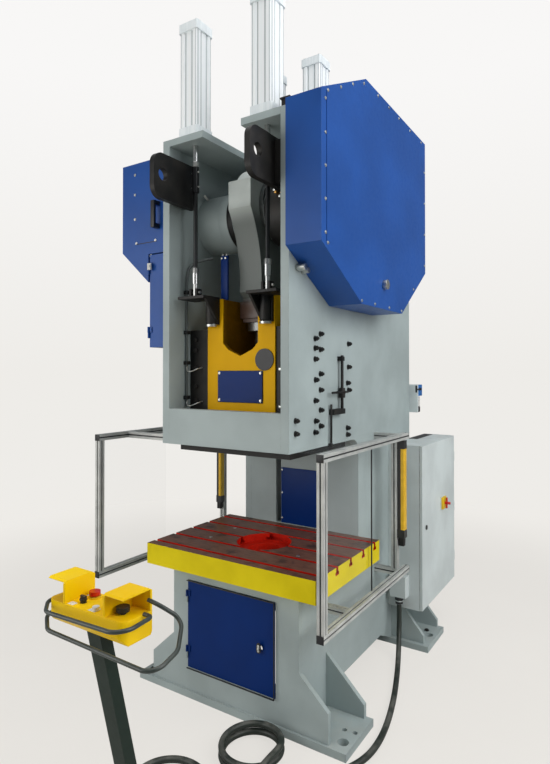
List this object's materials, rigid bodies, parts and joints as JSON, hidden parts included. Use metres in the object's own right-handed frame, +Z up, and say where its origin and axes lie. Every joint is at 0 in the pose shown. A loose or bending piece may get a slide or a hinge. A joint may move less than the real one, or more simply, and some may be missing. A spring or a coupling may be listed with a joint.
{
  "type": "mechanical stamping press",
  "caption": "Open-fronted C-frame mechanical stamping press with a crank-driven slide, T-slotted table, side guards, cabinet and a two-hand control desk.",
  "frame": {"origin": "centre of the four floor anchor holes, at the underside of the feet", "axes": "+Z up, +Y from the open front to the back of the machine, +X to the machine's geared side"},
  "size_m": [1.6538, 3.0311, 3.535],
  "materials": {
    "frame_paint": "light bluish grey paint",
    "cover_blue": "royal blue paint",
    "panel_blue": "dark blue paint",
    "table_yellow": "lemon yellow paint",
    "slide_yellow": "golden yellow paint",
    "black_steel": "blackened steel",
    "ground_steel": "machined steel",
    "bright_rod": "polished",
    "cast": "as cast",
    "profile": "anodised",
    "clear": "clear sheet",
    "cabinet_grey": "textured light grey",
    "desk_yellow": "moulded yellow",
    "black_plastic": "matte",
    "red_plastic": "gloss",
    "white_plastic": "gloss",
    "cable_black": "cable sheath",
    "belt_rubber": "fabric-backed",
    "curtain": "yellow and black"
  },
  "bodies": {
    "press": {"side_plate_left": "frame_paint", "side_plate_right": "frame_paint", "front_apron": "frame_paint", "crown_plate": "frame_paint", "column_weldment": "frame_paint", "base_front": "frame_paint", "rear_foot": "frame_paint", "lifting_lugs": "black_steel", "die_table": "table_yellow", "gibs": "black_steel", "frame_bolts": "black_steel", "balance_cylinders": "profile", "gear_cover": "cover_blue", "flywheel_cover": "cover_blue", "valve_box": "cover_blue", "drive_motor": "frame_paint", "guard_frame_right": "profile", "guard_frame_left": "profile", "guard_panels": "clear", "light_curtains": "curtain", "control_cabinet": "cabinet_grey", "cable_box": "cabinet_grey", "throat_panel": "panel_blue", "lubricator": "black_plastic", "cable_lead": "cable_black", "cable_coil": "cable_black", "cable_tail": "cable_black", "desk_housing": "desk_yellow", "desk_post": "black_steel", "desk_rails": "black_steel", "drive_belt": "belt_rubber"},
    "crank": {"crankshaft": "ground_steel", "main_gear": "cast"},
    "rod": {"connecting_rod": "frame_paint", "rod_cap": "frame_paint", "ball_screw": "ground_steel"},
    "ram": {"slide": "slide_yellow", "ram_plate": "black_steel", "slide_panel": "cover_blue", "slide_vent": "black_plastic", "balance_rod_left": "bright_rod", "balance_rod_right": "bright_rod", "balance_rods_rear": "bright_rod", "rod_brackets": "black_steel"},
    "pinion": {"pinion_shaft": "ground_steel"},
    "flywheel": {"flywheel": "cast"},
    "pulley": {"motor_pulley": "cast"},
    "base_door": {"base_door": "panel_blue"},
    "base_lock": {"base_lock": "black_plastic"},
    "valve_door": {"valve_door": "cover_blue"},
    "cabinet_door": {"cabinet_door": "cabinet_grey"},
    "main_switch": {"main_switch": "red_plastic"},
    "cabinet_lock": {"cabinet_lock": "black_plastic"},
    "palm_right": {"palm_button_right": "black_plastic"},
    "palm_left": {"palm_button_left": "black_plastic"},
    "stop": {"stop_button": "red_plastic"},
    "selector": {"selector_knob": "black_plastic"},
    "start": {"start_button": "white_plastic"},
    "pump_lever": {"lubricator_lever": "black_plastic"}
  },
  "joints": [
    {"name": "crank_turn", "type": "hinge", "parent": "press", "child": "crank", "pos_m": [0, -0.382, 2.56], "axis": [-1, 0, 0], "range_deg": [0, 180]},
    {"name": "rod_pin", "type": "hinge", "parent": "crank", "child": "rod", "pos_m": [0, -0.382, 2.64], "axis": [-1, 0, 0], "range_deg": [-180, 0]},
    {"name": "ram_stroke", "type": "slide", "parent": "press", "child": "ram", "axis": [0, 0, -1], "range_m": [0, 0.16]},
    {"name": "pinion_turn", "type": "hinge", "parent": "press", "child": "pinion", "pos_m": [0, 0.098, 2.56], "axis": [-1, 0, 0], "range_deg": [-720, 0]},
    {"name": "flywheel_turn", "type": "hinge", "parent": "press", "child": "flywheel", "pos_m": [0, 0.098, 2.56], "axis": [-1, 0, 0], "continuous": true},
    {"name": "pulley_turn", "type": "hinge", "parent": "press", "child": "pulley", "pos_m": [0, 0.563, 2.56], "axis": [-1, 0, 0], "continuous": true},
    {"name": "base_door_hinge", "type": "hinge", "parent": "press", "child": "base_door", "pos_m": [-0.2895, -0.69, 0.4], "axis": [0, 0, -1], "range_deg": [0, 110]},
    {"name": "base_lock_turn", "type": "hinge", "parent": "base_door", "child": "base_lock", "pos_m": [0.177, -0.679, 0.377], "axis": [0, 1, 0], "range_deg": [0, 90]},
    {"name": "valve_door_hinge", "type": "hinge", "parent": "press", "child": "valve_door", "pos_m": [-0.599, -0.67, 2.1], "axis": [0, 0, -1], "range_deg": [0, 110]},
    {"name": "cabinet_door_hinge", "type": "hinge", "parent": "press", "child": "cabinet_door", "pos_m": [0.603, 1.16, 0.756], "axis": [0, 0, 1], "range_deg": [0, 110]},
    {"name": "main_switch_turn", "type": "hinge", "parent": "cabinet_door", "child": "main_switch", "pos_m": [0.609, 0.858, 0.838], "axis": [1, 0, 0], "range_deg": [0, 90]},
    {"name": "cabinet_lock_turn", "type": "hinge", "parent": "cabinet_door", "child": "cabinet_lock", "pos_m": [0.609, 0.518, 0.748], "axis": [-1, 0, 0], "range_deg": [0, 90]},
    {"name": "palm_right_press", "type": "slide", "parent": "press", "child": "palm_right", "axis": [0, 0, -1], "range_m": [0, 0.006], "stiffness_N_per_m": 1200, "springref_m": -0.003},
    {"name": "palm_left_press", "type": "slide", "parent": "press", "child": "palm_left", "axis": [0, 0, -1], "range_m": [0, 0.006], "stiffness_N_per_m": 1200, "springref_m": -0.003},
    {"name": "stop_press", "type": "slide", "parent": "press", "child": "stop", "axis": [0, 0, -1], "range_m": [0, 0.006]},
    {"name": "selector_turn", "type": "hinge", "parent": "press", "child": "selector", "pos_m": [0.242, -1.77, 0.986], "axis": [0, 0, 1], "range_deg": [-45, 45]},
    {"name": "start_press", "type": "slide", "parent": "press", "child": "start", "axis": [0, 0, -1], "range_m": [0, 0.004], "stiffness_N_per_m": 800, "springref_m": -0.003},
    {"name": "pump_lever_swing", "type": "hinge", "parent": "press", "child": "pump_lever", "pos_m": [0.446, 0.874, 1.6], "axis": [1, 0, 0], "range_deg": [-35, 0]}
  ],
  "couplings": [
    {"joint": "rod_pin", "follows": "crank_turn", "ratio": -1},
    {"joint": "ram_stroke", "follows": "crank_turn", "m_per_rad": 0.05093},
    {"joint": "pinion_turn", "follows": "crank_turn", "ratio": -4},
    {"joint": "pulley_turn", "follows": "flywheel_turn", "ratio": 3.875}
  ]
}
